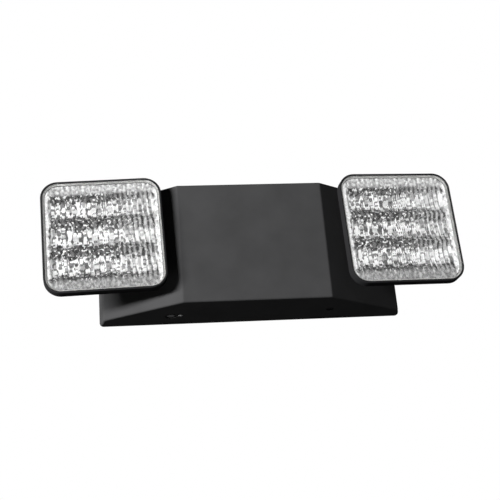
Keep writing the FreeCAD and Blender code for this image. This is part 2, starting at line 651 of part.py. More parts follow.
def make_underside_controls():
    board = new_body("indicator_board")
    box(board, "laminate",
        ("button_place - shelf_left + shelf_edge", "lamp_place + shelf_right - shelf_edge"),
        ("-button_forward - shelf_front + shelf_edge", "-button_forward + shelf_front"),
        ("indicator_face", "shelf_bottom"))
    under = ("button_place", "-button_forward")
    switch = new_body("test_switch")
    box(switch, "switch_case", ("button_place - switch_width / 2", "button_place + switch_width / 2"),
        ("-button_forward - switch_width / 2", "-button_forward + switch_width / 2"),
        ("switch_face", "indicator_face"))
    bar(switch, "switch_well", "stem_radius + button_gap * 2", (*under, "switch_face - 1"),
        "1 + stem_reach + button_travel + lip_gap", cut=True)

    beside = ("lamp_place", "-button_forward")
    diode = new_body("indicator_led")
    bar(diode, "bulb", "pipe_radius - 0.1", (*beside, "-inner_rise + 3"), "indicator_face + inner_rise - 3")
    pipe = new_body("indicator_lens")
    bar(pipe, "light_pipe", "pipe_radius", (*beside, "button_face"), "wall + 2.4")
    bar(pipe, "pipe_rim", "pipe_radius + flange_rim", (*beside, "-inner_rise + play"), "flange_rise")

    button = new_body("test_button")
    bar(button, "cap", "button_radius", (*under, "button_face"), "button_rim_top - button_face")
    bar(button, "rim", "button_radius + flange_rim", (*under, "-inner_rise + play"), "flange_rise")
    bar(button, "stem", "stem_radius", (*under, "button_rim_top"),
        "switch_face + stem_reach - button_rim_top")
    fillet(button, "cap_edge", "0.5", lambda edge: near(edge.BoundBox.ZMin, size("button_face"))
           and near(edge.BoundBox.ZMax, size("button_face")))
    make_test_spring()

    plugs = new_body("switch_plugs")
    box(plugs, "far_plug", ("plug_place - plug_width / 2", "plug_place + plug_width / 2"),
        ("-button_forward - plug_width / 2", "-button_forward + plug_width / 2"),
        ("indicator_face - plug_height * 0.7", "indicator_face"))
    on_board(plugs, "near_plug", (1, 7), (0, "plug_height"), (-12, -6))


def make_test_spring():
    """A coil of square wire between the button's rim and the switch."""
    half_wire, coil, turns = 0.2, size("stem_radius") + 0.9, 3.5
    seat = half_wire + 0.02
    low, high = size("button_rim_top") + seat, size("switch_face") - seat
    helix = Part.makeHelix((high - low) / turns, high - low, coil)
    path = Part.Wire(helix.Edges)
    corners = [Vector(coil + right * half_wire, 0, up * half_wire)
               for right, up in ((-1, -1), (1, -1), (1, 1), (-1, 1))]
    ring = Part.makePolygon(corners + corners[:1])
    spring = doc.addObject("Part::Feature", "test_spring")
    spring.Label = "test_spring"
    spring.Shape = path.makePipeShell([ring], True, True)
    place = Vector(size("button_place"), -size("button_forward"), low)
    spring.Placement = Placement(place, Rotation())
    nodes.append(spring)


# Turrets

def make_turret(name, side):
    frame = swivel_frame(side, "0", "head_turn")
    body = new_body(f"{name}_turret", frame)
    bar(body, "flange", "turret_radius", ("0", "0", "turret_gap"), "flange_thickness")
    bar(body, "neck", "neck_radius", ("0", "0", "groove_top"),
        "turret_gap + flange_thickness - groove_top")
    bar(body, "groove", "neck_radius - ring_groove", ("0", "0", "groove_floor"),
        "groove_top - groove_floor + 1")
    bar(body, "tail", "neck_radius", ("0", "0", "neck_bottom"), "neck_tail")
    for way in (-1, 1):
        ear = mirrored("ear_low", "ear_high", way)
        box(body, "ear", ("-ear_round", "ear_round"), ear,
            ("turret_gap + flange_thickness / 2", "pivot_height"))
        bar(body, "ear_end", "ear_round", ("0", ear[0], "pivot_height"), "ear_thickness", "+Y")
    bar(body, "bolt_hole", "bolt_radius + running_gap", ("0", "-ear_high - 1", "pivot_height"),
        "2 * ear_high + 2", "+Y", cut=True)
    bar(body, "wire_way", "wire_bore", ("0", "0", "neck_bottom - 1"),
        "turret_gap + flange_thickness - neck_bottom + 2", cut=True)

    ring = new_body(f"{name}_retaining_ring", frame)
    washer(ring, "ring", "ring_radius", "neck_radius - ring_groove + play",
           ("0", "0", "groove_floor + play"), "ring_thickness")
    box(ring, "ring_mouth", ("0", "ring_radius"), ("-neck_radius * 0.75", "neck_radius * 0.75"),
        ("groove_floor - 1", "groove_top + 1"), cut=True)

    spring = new_body(f"{name}_spring_washer", frame)
    washer(spring, "disc", "ring_radius + 0.4", "neck_radius + 5 * running_gap",
           ("0", "0", "-boss_depth - washer_thickness"), "washer_thickness")

    discs = new_body(f"{name}_friction_washers", frame)
    for start in ("lug_half + play", "-lug_half - play - friction_thickness"):
        washer(discs, "disc", "friction_radius", "bolt_radius + running_gap",
               ("0", start, "pivot_height"), "friction_thickness", "+Y")

    bolt = new_body(f"{name}_knuckle_bolt", frame)
    under_head = "-ear_high - play"
    bar(bolt, "shank", "bolt_radius", ("0", f"{under_head} - 1", "pivot_height"),
        "2 * ear_high + 2 * play + nut_height + 2", "+Y")
    bar(bolt, "head", "bolt_head_radius", ("0", f"{under_head} - bolt_head_height", "pivot_height"),
        "bolt_head_height", "+Y")
    bar(bolt, "socket", "bolt_radius * 0.8", ("0", f"{under_head} - bolt_head_height - 1", "pivot_height"),
        "bolt_head_height / 2 + 1", "+Y", cut=True, corners=6)

    nut = new_body(f"{name}_knuckle_nut", frame)
    bar(nut, "hexagon", "nut_radius", ("0", "ear_high + play", "pivot_height"), "nut_height", "+Y",
        corners=6)
    bar(nut, "thread", "bolt_radius + running_gap", ("0", "ear_high", "pivot_height"), "nut_height + 1",
        "+Y", cut=True)


# Lamp heads: Y runs back from the lens, so the distance in front of the pivot is -Y

def head_frame(side, yaw):
    return (f"placement(vector({side} * pivot_x; pivot_y; head_rise); "
            f"rotation(vector({side} * sin(slope); -cos(slope); 0); head_turn) "
            f"* rotation(vector(0; 0; 1); {yaw}))")


def square(body, name, forward, half, radius):
    """A square outline with round corners, some distance in front of the pivot."""
    return rounded(body, name, "XZ_Plane", forward, half, half, radius)


def make_head_shell(name, frame):
    body = new_body(f"{name}_head_shell", frame)
    rim = ("head_reach - rim_depth", "head_width / 2", "head_corner")
    pad(body, "rim", square(body, "rim_outline", *rim), "rim_depth")
    loft(body, "dish", square(body, "dish_front", *rim),
         square(body, "dish_back", "back_plane", "back_width / 2", "back_corner"))

    def outline_at(forward):
        return lambda edge: all(near(point.y, -forward) for point in edge.discretize(3))

    fillet(body, "front_edge", "rim_round", outline_at(size("head_reach")))
    fillet(body, "back_edge", "dish_round", outline_at(size("back_plane")))
    pocket(body, "lens_seat",
           square(body, "lens_outline", "head_reach", "lens_pocket", "(head_corner - rim_wall)"),
           "lens_thickness + gasket_thickness")
    pocket(body, "straight_hollow",
           square(body, "hollow_outline", "ledge", "cavity_half", "inner_corner"), "ledge - cavity_bend")
    loft(body, "tapered_hollow",
         square(body, "hollow_front", "cavity_bend", "cavity_half", "inner_corner"),
         square(body, "hollow_back", "cavity_floor", "floor_half", "floor_corner"), cut=True)
    box(body, "lug", ("-ear_round", "ear_round"), ("-back_plane - back_wall / 2", "0"),
        ("-lug_half", "lug_half"))
    bar(body, "lug_end", "ear_round", ("0", "0", "-lug_half"), "lug_width")
    bar(body, "pivot_hole", "bolt_radius + running_gap", ("0", "0", "-lug_half - 1"), "lug_width + 2",
        cut=True)
    bar(body, "wire_hole", "wire_bore / 2", ("0", "-back_plane + 1", "ear_high + 8"), "back_wall + 2",
        "-Y", cut=True)


def make_lens(name, frame):
    gasket = new_body(f"{name}_lens_gasket", frame)
    corner = "(head_corner - rim_wall - lens_gap)"
    pad(gasket, "band", square(gasket, "band_outline", "ledge", "lens_pocket - lens_gap", corner),
        "gasket_thickness")
    pocket(gasket, "opening",
           square(gasket, "opening_outline", "lens_back", "cavity_half + lens_gap", "inner_corner"),
           "gasket_thickness")

    lens = new_body(f"{name}_lens", frame)
    pad(lens, "pane", square(lens, "pane_outline", "lens_back", "lens_pocket - lens_gap", corner),
        "lens_thickness")
    first = "-flute_pitch * (flute_count - 1) / 2"
    depth = "-lens_back - flute_depth"
    groove = polygon(lens, "flute_section", "XY_Plane", [
        (f"{first} - flute_pitch * 0.42", "-lens_back + 0.1"),
        (f"{first} + flute_pitch * 0.42", "-lens_back + 0.1"),
        (first, depth)])
    flute = pocket(lens, "flute", groove, "2 * cavity_half - head_corner", True)
    flutes = lens.newObject("PartDesign::LinearPattern", "flutes")
    flutes.Originals = [flute]
    flutes.Direction = ([item for item in lens.Origin.OriginFeatures if item.Role == "X_Axis"][0], [""])
    bind(flutes, {"Length": "flute_pitch * (flute_count - 1)", "Occurrences": "flute_count"})
    lens.Tip = flutes


def make_reflector(name, frame):
    """A moulded block with three bright troughs, each over a row of diodes."""
    body = new_body(f"{name}_reflector", frame)
    pad(body, "foot",
        square(body, "foot_outline", "diode_plane", "foot_half", "(back_corner - ledge_width)"),
        "cavity_bend + lens_gap - diode_plane")
    bend = "cavity_bend + lens_gap"
    pad(body, "face", square(body, "face_outline", bend, "cavity_half - lens_gap * 2", "inner_corner"),
        "reflector_front - cavity_bend - lens_gap")
    floor = "-diode_plane - trough_base"
    mouth = "-reflector_front - 0.1"
    for row in (-1, 0, 1):
        middle = f"{row} * trough_pitch"
        section = polygon(body, "trough_section", "YZ_Plane", [
            (mouth, f"{middle} - trough_mouth / 2"), (mouth, f"{middle} + trough_mouth / 2"),
            (floor, f"{middle} + trough_floor / 2"), (floor, f"{middle} - trough_floor / 2")])
        pocket(body, "trough", section, "trough_length", True)
        for x, z in diode_places(row):
            width = "(diode_width / 2 + lens_gap * 4)"
            height = "(diode_rise / 2 + lens_gap * 4)"
            box(body, "diode_window", (f"{x} - {width}", f"{x} + {width}"),
                (f"{floor} - 0.5", "-diode_plane + 0.5"), (f"{z} - {height}", f"{z} + {height}"), cut=True)


def diode_places(row):
    """The middles of one row of diodes, as pairs of formulas for X and Z."""
    return [(f"{step} * diode_pitch", f"{row} * trough_pitch") for step in (-1.5, -0.5, 0.5, 1.5)]


def make_light_engine(name, frame):
    spreader = new_body(f"{name}_heat_spreader", frame)
    pad(spreader, "plate",
        square(spreader, "plate_outline", "cavity_floor", "spreader_half", "floor_corner"),
        "spreader_thickness")
    board = new_body(f"{name}_led_board", frame)
    pad(board, "laminate",
        square(board, "laminate_outline", "board_plane", "led_board_half", "floor_corner"),
        "board_thickness")
    diodes = new_body(f"{name}_leds", frame)
    for row in (-1, 0, 1):
        for x, z in diode_places(row):
            box(diodes, "diode", (f"{x} - diode_width / 2", f"{x} + diode_width / 2"),
                ("-diode_plane - diode_height", "-diode_plane"),
                (f"{z} - diode_rise / 2", f"{z} + diode_rise / 2"))


# Leads: straight runs joined by arcs that touch them

def lead(label, points):
    """A round lead through points chosen by hand, with the largest arcs that its runs allow."""
    radius = size("lead_radius")
    points = [Vector(*point) for point in points]
    edges, start = [], points[0]
    for before, corner, after in zip(points, points[1:], points[2:]):
        back, on = (before - corner), (after - corner)
        short = min(back.Length, on.Length)
        back.normalize()
        on.normalize()
        half_turn = (math.pi - back.getAngle(on)) / 2
        taken = 0.45 * short
        bend = taken / math.tan(half_turn)
        arc_in, arc_out = corner + back * taken, corner + on * taken
        centre = corner + (back + on).normalize() * (bend / math.cos(half_turn))
        middle = centre + (corner - centre).normalize() * bend
        edges.append(Part.LineSegment(start, arc_in).toShape())
        edges.append(Part.Arc(arc_in, middle, arc_out).toShape())
        start = arc_out
    edges.append(Part.LineSegment(start, points[-1]).toShape())
    path = Part.Wire(edges)
    ring = Part.Wire([Part.makeCircle(radius, points[0], points[1] - points[0])])
    item = doc.addObject("Part::Feature", label)
    item.Label = label
    item.Shape = path.makePipeShell([ring], True, False)
    nodes.append(item)


def neck_point(side, lift):
    """A point on a turret's axis, some distance out of the sloping face."""
    slope = math.radians(size("slope"))
    across = side * (size("seat_x") + lift * math.sin(slope))
    return (across, size("seat_y") - lift * math.cos(slope), size("head_rise"))


def make_leads():
    left = size("board_left")
    off = size("board_front") - size("plug_height") / 2
    battery = size("battery_place")
    cell_top = size("battery_low") + size("cell_length")
    plugs_up = 28.8

    def above(share):
        """A height between the top of the cells and the housing's inner face."""
        return cell_top + share * (size("inner_rise") - cell_top)

    routes = {
        "left": [(left + 20, off, plugs_up), (left + 9, off, plugs_up), (left - 10, off, above(0.63)),
                 (battery + 40, off, above(0.71)), (battery + 14, off + 1, above(0.65)),
                 (battery - 12, off + 4, above(0.7))],
        "right": [(left + 34, off, plugs_up), (left + 43, off, plugs_up), (left + 56, off, above(0.61))],
    }
    for name, side in SIDES:
        x, y, rise = neck_point(side, -16.5)
        ends = {"left": [(x + 7, y - 2, above(0.46)), (x, y, rise + 17)],
                "right": [(x - 4, y - 3, above(0.6)), (x, y, rise + 18)]}
        lead(f"{name}_lamp_lead", routes[name] + ends[name] + [(x, y, rise), neck_point(side, 0.0)])

    last_cell = battery + 1.5 * size("cell_pitch")
    clear = -size("plate_thickness") - size("cradle_height") - 3.5
    lead("battery_lead", [(last_cell, clear, cell_top), (last_cell, clear, above(0.33)),
                          (last_cell + 21, clear, above(0.33)), (left - 13, off, 16), (left + 1, off, 16)])

    plug_end = size("plug_place") + size("plug_width") / 2
    under = size("indicator_face") - size("plug_height") * 0.35
    forward = -size("button_forward")
    lead("switch_lead", [(plug_end, forward, under), (plug_end + 10, forward, under),
                         (plug_end + 28, forward + 1, under + 1), (left - 22, forward + 3, under + 7),
                         (left - 18, off, -20), (left - 10, off, -9), (left + 1, off, -9)])


def make_model():
    fill_sheet()
    make_front_housing()
    make_back_plate()
    make_locking_screw()
    make_battery()
    make_circuit_board()
    make_board_parts()
    make_underside_controls()
    for name, side in SIDES:
        make_turret(name, side)
        frame = head_frame(side, f"{name}_yaw")
        make_head_shell(name, frame)
        make_lens(name, frame)
        make_reflector(name, frame)
        make_light_engine(name, frame)
    make_leads()
    doc.recompute()


def check_model():
    for item in doc.Objects:
        if "Invalid" in item.State or "Error" in item.State:
            raise RuntimeError(f"{item.Label} failed: {item.State}")
    for node in nodes:
        if node.Shape.isNull() or not node.Shape.isValid() or not node.Shape.Solids:
            raise RuntimeError(f"{node.Label} has no sound solid")


def write_parts():
    os.makedirs("parts", exist_ok=True)
    for node in nodes:
        node.Shape.exportStep(f"parts/{node.Label}.step")
    print(len(nodes), "nodes written")


make_model()
check_model()
write_parts()
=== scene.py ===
import json
import math

import bmesh
import bpy
from mathutils import Matrix, Vector


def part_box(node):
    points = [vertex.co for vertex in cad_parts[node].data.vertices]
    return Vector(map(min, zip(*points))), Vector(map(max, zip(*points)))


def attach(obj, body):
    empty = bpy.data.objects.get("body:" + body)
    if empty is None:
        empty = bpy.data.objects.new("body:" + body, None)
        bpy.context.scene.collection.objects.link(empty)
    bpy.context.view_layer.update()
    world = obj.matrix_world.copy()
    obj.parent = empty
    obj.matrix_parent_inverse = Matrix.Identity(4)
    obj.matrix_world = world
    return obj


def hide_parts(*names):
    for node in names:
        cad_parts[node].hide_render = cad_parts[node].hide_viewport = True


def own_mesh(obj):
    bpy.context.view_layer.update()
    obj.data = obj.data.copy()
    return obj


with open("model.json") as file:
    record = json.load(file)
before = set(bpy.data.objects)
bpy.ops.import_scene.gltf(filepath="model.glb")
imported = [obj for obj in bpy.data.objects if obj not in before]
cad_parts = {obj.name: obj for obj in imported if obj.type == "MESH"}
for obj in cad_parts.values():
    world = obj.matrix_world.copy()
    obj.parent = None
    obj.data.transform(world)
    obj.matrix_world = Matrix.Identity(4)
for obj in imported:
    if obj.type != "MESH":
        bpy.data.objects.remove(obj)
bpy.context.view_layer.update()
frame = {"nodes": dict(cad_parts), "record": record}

# The lamp heads are built in a frame of their own, in millimetres: the knuckle is its origin,
# X runs across the lens, Z up it, and Y back from it, so the lens faces -Y.

MM = 0.001
SIDES = ("left", "right")
GRID_COLUMNS = 184
SMOOTH_DEGREES = 40
HEAD_TURN = math.radians(2)
HEAD_YAW = {"left": 0.0, "right": math.radians(5.2)}

LENS_ROWS = 44
LENS_FACE = 21.0
LENS_THICKNESS = 2.2
LENS_HALF = 43.4
LENS_CORNER = 11.4
LENS_EASE_DEPTH = 0.5
LENS_EASE_WIDTH = 1.6
FLUTE_PITCH = 3.8
FLUTE_COUNT = 21
FLUTE_DEPTH = 0.45
FLUTE_START = 2.2
FLUTE_FULL = 3.4

REFLECTOR_ROWS = 110
REFLECTOR_HALF = 41.8
REFLECTOR_CORNER = 9.8
REFLECTOR_FRONT = 18.4
REFLECTOR_BACK = 12.4
REFLECTOR_SLOPE = 8.0
REFLECTOR_RIM = 2.0
REFLECTOR_SKIN = 0.1
TROUGH_PITCH = 23.0
TROUGH_MOUTH = 21.5
TROUGH_DEPTH = 4.4
TROUGH_HALF_LENGTH = 40.0
TROUGH_END = 3.0
TROUGH_PLACES = (-TROUGH_PITCH, 0.0, TROUGH_PITCH)
RIPPLE_DEPTH = 0.45
RIPPLE_MARGIN = 2.0

DIODE_PITCH = 13.0
DIODE_PLACES = tuple(step * DIODE_PITCH for step in (-1.5, -0.5, 0.5, 1.5))
DIODE_FORWARD = 12.5
DIODE_CASE = (3.5, 0.8, 2.8)
DIODE_BEVEL = 0.15
DOME_RADIUS = 1.15
DOME_FLATNESS = 0.35
DOME_LIFT = 0.35
POCKET_RADIUS = 2.4
POCKET_DEPTH = 1.6
POCKET_EASE = 0.5

# The test button's spring and the locking screw, with sizes in metres

SPRING_TURNS = 3.5
SPRING_WIRE = 0.2 * MM
SCREW_EASE = 0.15 * MM

joint_data = {joint["name"]: joint for joint in frame["record"]["behaviour"]["joints"]}


def head_matrix(side):
    """The place of a lamp head at rest, from its two joints and the two small turns of its aim."""
    swivel = Vector(joint_data[f"{side}_swivel"]["axis"])
    knuckle = Vector(joint_data[f"{side}_tilt"]["pos_m"])
    turn = Matrix.Rotation(HEAD_TURN, 4, swivel) @ Matrix.Rotation(HEAD_YAW[side], 4, "Z")
    return Matrix.Translation(knuckle) @ turn @ Matrix.Scale(MM, 4)


# Shader nodes

class Recipe:
    """A material that is put together from nodes by short calls."""

    def __init__(self, name, **values):
        self.material = bpy.data.materials.new(name)
        self.material.use_nodes = True
        self.nodes = self.material.node_tree.nodes
        self.links = self.material.node_tree.links
        self.shader = self.nodes["Principled BSDF"]
        for socket, value in values.items():
            self.put(self.shader.inputs[socket.replace("_", " ")], value)

    def put(self, socket, value):
        if isinstance(value, bpy.types.NodeSocket):
            self.links.new(value, socket)
        else:
            socket.default_value = value

    def add(self, kind, *inputs, output=0, **settings):
        """A node with its first inputs filled in, and the socket that it gives out."""
        node = self.nodes.new(kind)
        for name, value in settings.items():
            setattr(node, name, value)
        for socket, value in zip(node.inputs, inputs):
            self.put(socket, value)
        return node.outputs[output]

    def math(self, operation, *inputs):
        return self.add("ShaderNodeMath", *inputs, operation=operation)

    def place(self):
        """Object coordinates, in the object's own unit."""
        return self.add("ShaderNodeTexCoord", output=3)

    def noise(self, place, scale, detail=3.0):
        node = self.nodes.new("ShaderNodeTexNoise")
        self.put(node.inputs["Vector"], place)
        node.inputs["Scale"].default_value = scale
        node.inputs["Detail"].default_value = detail
        return node.outputs["Fac"]

    def stretched(self, place, scales):
        """A place with each axis scaled by itself."""
        node = self.add("ShaderNodeMapping", place).node
        node.inputs["Scale"].default_value = scales
        return node.outputs[0]

    def ramp(self, value, *stops):
        """A colour ramp through (position, grey or colour) stops."""
        node = self.nodes.new("ShaderNodeValToRGB")
        self.put(node.inputs["Fac"], value)
        elements = node.color_ramp.elements
        while len(elements) < len(stops):
            elements.new(0.5)
        for element, (position, colour) in zip(elements, stops):
            element.position = position
            element.color = grey(colour) if isinstance(colour, float) else colour
        return node.outputs["Color"]

    def mix(self, share, first, second):
        """The first colour or grey at a share of 0 and the second at a share of 1."""
        node = self.nodes.new("ShaderNodeMix")
        node.data_type = "RGBA"
        self.put(node.inputs["Factor"], share)
        for socket, value in ((node.inputs["A"], first), (node.inputs["B"], second)):
            self.put(socket, grey(value) if isinstance(value, float) else value)
        return node.outputs["Result"]

    def relief(self, height, distance):
        """Bump from a height, the distance in metres."""
        node = self.nodes.new("ShaderNodeBump")
        node.inputs["Distance"].default_value = distance
        self.put(node.inputs["Height"], height)
        self.put(self.shader.inputs["Normal"], node.outputs["Normal"])

    def colour(self, value):
        self.put(self.shader.inputs["Base Color"], value)

    def rough(self, value):
        self.put(self.shader.inputs["Roughness"], value)


def grey(value):
    return (value, value, value, 1.0)


def shade(colour, factor):
    return tuple(channel * factor for channel in colour) + (1.0,)


def moulded(name, colour, roughness, specular):
    """Moulded plastic: faint mottling, a fine matt grain and slightly uneven gloss."""
    recipe = Recipe(name, IOR=1.5, Specular_IOR_Level=specular)
    place = recipe.place()
    mottle = recipe.noise(place, scale=38.0, detail=4.0)
    recipe.colour(recipe.ramp(mottle, (0.3, shade(colour, 0.9)), (0.7, shade(colour, 1.08))))
    gloss = recipe.noise(place, scale=120.0)
    recipe.rough(recipe.ramp(gloss, (0.3, roughness - 0.04), (0.7, roughness + 0.05)))
    recipe.relief(recipe.noise(place, scale=1500.0, detail=2.0), distance=0.00006)
    return recipe.material


def metal(name, colour, roughness, grain_along=(1.0, 1.0, 1.0)):
    """Plain or plated metal: cloudy colour, and a fine grain that can be drawn out along an axis."""
    recipe = Recipe(name, Metallic=1.0)
    place = recipe.place()
    clouds = recipe.noise(place, scale=90.0, detail=4.0)
    recipe.colour(recipe.ramp(clouds, (0.3, shade(colour, 0.88)), (0.7, shade(colour, 1.0))))
    grain = recipe.noise(recipe.stretched(place, grain_along), scale=900.0)
    recipe.rough(recipe.ramp(grain, (0.3, roughness - 0.06), (0.7, roughness + 0.1)))
    recipe.relief(grain, distance=0.00002)
    return recipe.material


def laminate(name, colour, track):
    """Circuit board: solder resist in two close greens, with paler lines between them."""
    recipe = Recipe(name, Roughness=0.35)
    place = recipe.place()
    tracks = recipe.add("ShaderNodeTexBrick", place)
    settings = {
        "Color1": shade(colour, 1.0),
        "Color2": shade(colour, 1.12),
        "Mortar": shade(track, 1.0),
        "Scale": 60.0,
        "Mortar Size": 0.03,
        "Brick Width": 0.7,
        "Row Height": 0.2,
    }
    for socket, value in settings.items():
        tracks.node.inputs[socket].default_value = value
    mottle = recipe.noise(place, scale=200.0)
    share = recipe.ramp(mottle, (0.3, 0.75), (0.7, 1.0))
    recipe.colour(recipe.mix(share, shade(colour, 0.8), tracks))
    recipe.relief(mottle, distance=0.00003)
    return recipe.material


def insulation(name, colour):
    """Wire insulation: soft, a little uneven, with a satin shine."""
    recipe = Recipe(name, Roughness=0.45)
    place = recipe.place()
    mottle = recipe.noise(place, scale=260.0)
    recipe.colour(recipe.ramp(mottle, (0.3, shade(colour, 0.85)), (0.7, shade(colour, 1.05))))
    recipe.relief(recipe.noise(place, scale=800.0), distance=0.00003)
    return recipe.material


def foam(name, colour):
    """Foam rubber with small open cells."""
    recipe = Recipe(name, Roughness=0.95)
    cells = recipe.add("ShaderNodeTexVoronoi", recipe.place())
    cells.node.inputs["Scale"].default_value = 1800.0
    recipe.colour(recipe.ramp(cells, (0.1, shade(colour, 0.5)), (0.6, shade(colour, 1.2))))
    recipe.relief(cells, distance=0.0002)
    return recipe.material


def glow_body(name, colour, roughness):
    """Body of a diode: cloudy colour under a shiny skin."""
    recipe = Recipe(name, Roughness=roughness, Coat_Weight=0.6, Coat_Roughness=0.08)
    clouds = recipe.noise(recipe.place(), scale=600.0)
    recipe.colour(recipe.ramp(clouds, (0.3, shade(colour, 0.8)), (0.7, shade(colour, 1.0))))
    return recipe.material


def windings(name, colour):
    """Wound wire under thin tape, turn beside turn."""
    recipe = Recipe(name, Roughness=0.4, Metallic=0.6)
    turns = recipe.add("ShaderNodeTexWave", recipe.place(), output=1, bands_direction="X")
    turns.node.inputs["Scale"].default_value = 700.0
    recipe.colour(recipe.ramp(turns, (0.2, shade(colour, 0.5)), (0.7, shade(colour, 1.1))))
    recipe.relief(turns, distance=0.0001)
    return recipe.material


def clear_moulding(name, tint, roughness):
    """Clear plastic with very faint haze."""
    recipe = Recipe(name, IOR=1.32, Base_Color=shade(tint, 1.0), Transmission_Weight=1.0)
    haze = recipe.noise(recipe.place(), scale=0.4)
    recipe.rough(recipe.ramp(haze, (0.3, roughness), (0.7, roughness + 0.03)))
    return recipe.material


def reflector_painted_light(name):
    """Metallised reflector, whose silver colour carries painted light. Its place is in millimetres:
    three bright rows of upright blobs of painted reflection, darker speckled ridges of painted shade
    between them, paler margins above and below with the upper one painted lighter, painted
    highlights at the left and right edges, and painted light streaks towards the right."""
    recipe = Recipe(name, Metallic=0.4)
    place = recipe.place()
    parts = recipe.add("ShaderNodeSeparateXYZ", place)
    across, up = parts, parts.node.outputs[2]

    def spots(upright, scale, detail=1.0):
        """Spots of noise: the smaller upright is, the taller they are."""
        return recipe.noise(recipe.stretched(place, (1.0, 1.0, upright)), scale, detail)

    def step(value, low, high):
        return recipe.ramp(value, (low, 0.0), (high, 1.0))

    def added(first, second):
        return recipe.math("ADD", first, second)

    def times(value, factor):
        return recipe.math("MULTIPLY", value, factor)

    def swing(value, middle, size):
        """A value's difference from its middle, made larger."""
        return times(recipe.math("SUBTRACT", value, middle), size)

    def share_of(value, whole):
        return recipe.math("DIVIDE", value, whole)

    # Where the rows, the margins and the right side are
    half_row = TROUGH_PITCH / 2
    ragged = swing(spots(0.4, 0.42), 0.47, 13.0)
    from_row = added(recipe.math("PINGPONG", up, half_row), ragged)
    ridge = step(share_of(from_row, half_row), 0.5, 0.66)
    margin = step(share_of(recipe.math("ABSOLUTE", up), REFLECTOR_HALF), 0.8, 0.87)
    # The upper margin is painted lighter than the lower
    upper = step(share_of(up, REFLECTOR_HALF), 0.4, 0.6)
    # Towards the right, painted light streaks take over from the rows
    rightward = step(share_of(across, REFLECTOR_HALF), 0.05, 0.8)
    frayed = swing(recipe.noise(place, scale=0.3, detail=1.0), 0.5, 6.0)
    side_way = added(recipe.math("ABSOLUTE", across), frayed)
    # Painted highlights along the left and right edges
    rim = step(share_of(side_way, REFLECTOR_HALF), 0.93, 0.96)

    # One upright streak of painted light for each flute, leaning and bending a little
    half_flute = FLUTE_PITCH / 2
    lean = times(up, 0.1)
    bend = times(recipe.noise(place, scale=0.1, detail=1.0), 3.0)
    column = recipe.math("PINGPONG", added(added(across, lean), bend), half_flute)
    streak = step(share_of(column, half_flute), 0.3, 0.75)

    # Irregular spots of four kinds, and the greys that they mix: blobs of painted reflection, dark
    # flecks of painted shade, painted glints, and a mottle in the painted light of the margins
    blobs = step(spots(0.24, 0.42), 0.41, 0.47)
    flecks = step(spots(0.75, 0.42), 0.44, 0.48)
    painted_glints = step(spots(0.8, 0.6, detail=0.0), 0.62, 0.67)
    grain = step(spots(0.8, 0.5), 0.4, 0.62)

    bright = recipe.mix(blobs, 0.38, 1.0)
    bright = recipe.mix(flecks, recipe.mix(0.8, bright, 0.02), bright)
    dark = recipe.mix(streak, 0.15, 0.03)
    dark = recipe.mix(flecks, 0.004, dark)
    dark = recipe.mix(painted_glints, dark, 0.9)
    lines = recipe.mix(streak, recipe.mix(ridge, 1.0, 0.55), recipe.mix(ridge, 0.16, 0.01))
    edge = recipe.mix(upper, recipe.mix(grain, 0.2, 0.52), recipe.mix(grain, 0.4, 0.95))
    edge = recipe.mix(times(streak, 0.35), edge, 0.1)

    surface = recipe.mix(ridge, bright, dark)
    surface = recipe.mix(times(rightward, 0.72), surface, lines)
    surface = recipe.mix(margin, surface, edge)
    # The painted edge highlights go over the rest
    recipe.colour(recipe.mix(times(rim, 0.9), surface, 0.99))
    recipe.rough(recipe.ramp(flecks, (0.3, 0.15), (0.7, 0.3)))
    return recipe.material


LOOKS = {
    "housing_black": moulded("housing_plastic", (0.052, 0.052, 0.053), 0.6, specular=0.0),
    "head_black": moulded("head_plastic", (0.021, 0.021, 0.022), 0.45, specular=0.0),
    "lens_clear": clear_moulding("lens_plastic", (0.99, 0.99, 0.99), 0.01),
    # The reflector's colour carries painted reflections, highlights and shade
    "reflector_silver": reflector_painted_light("reflector_painted_reflections"),
    "gasket_foam": foam("gasket_foam", (0.42, 0.42, 0.41)),
    "board_green": laminate("board_resist", (0.03, 0.16, 0.07), (0.06, 0.26, 0.1)),
    "led_white": glow_body("diode_phosphor", (0.9, 0.9, 0.9), 0.35),
    "aluminium": metal("sheet_aluminium", (0.78, 0.79, 0.8), 0.35, (1.0, 1.0, 0.08)),
    "steel": metal("zinc_plate", (0.42, 0.43, 0.45), 0.38),
    "nylon": moulded("natural_nylon", (0.78, 0.76, 0.68), 0.4, specular=0.4),
    "component_black": moulded("epoxy_case", (0.02, 0.02, 0.021), 0.35, specular=0.4),
    "component_green": moulded("terminal_nylon", (0.03, 0.22, 0.08), 0.45, specular=0.4),
    "copper": windings("enamelled_wire", (0.62, 0.26, 0.09)),
    "iron_core": metal("varnished_iron", (0.16, 0.15, 0.15), 0.5, (1.0, 12.0, 1.0)),
    "battery_wrap": moulded("shrink_sleeve", (0.03, 0.1, 0.34), 0.25, specular=0.5),
    "capacitor_sleeve": moulded("capacitor_sleeve", (0.01, 0.014, 0.03), 0.25, specular=0.5),
    "fuse_ceramic": moulded("fuse_body", (0.7, 0.69, 0.64), 0.3, specular=0.5),
    "lead_red": insulation("red_insulation", (0.5, 0.02, 0.015)),
    "lead_white": insulation("white_insulation", (0.8, 0.8, 0.78)),
    "button_grey": moulded("button_plastic", (0.014, 0.014, 0.015), 0.45, specular=0.02),
    "indicator_clear": clear_moulding("light_pipe", (0.16, 0.18, 0.17), 0.2),
}
BLACK_LACQUER = moulded("black_lacquer", (0.02, 0.02, 0.021), 0.5, specular=0.0)


def dress_frame():
    """Give each CAD node the look of its material slot."""
    for part in frame["record"]["subparts"]:
        node = frame["nodes"][part["node"]]
        look = LOOKS[part["material_slot"]]
        if not node.material_slots:
            node.data.materials.append(look)
        for place in node.material_slots:
            place.material = look


# Meshes

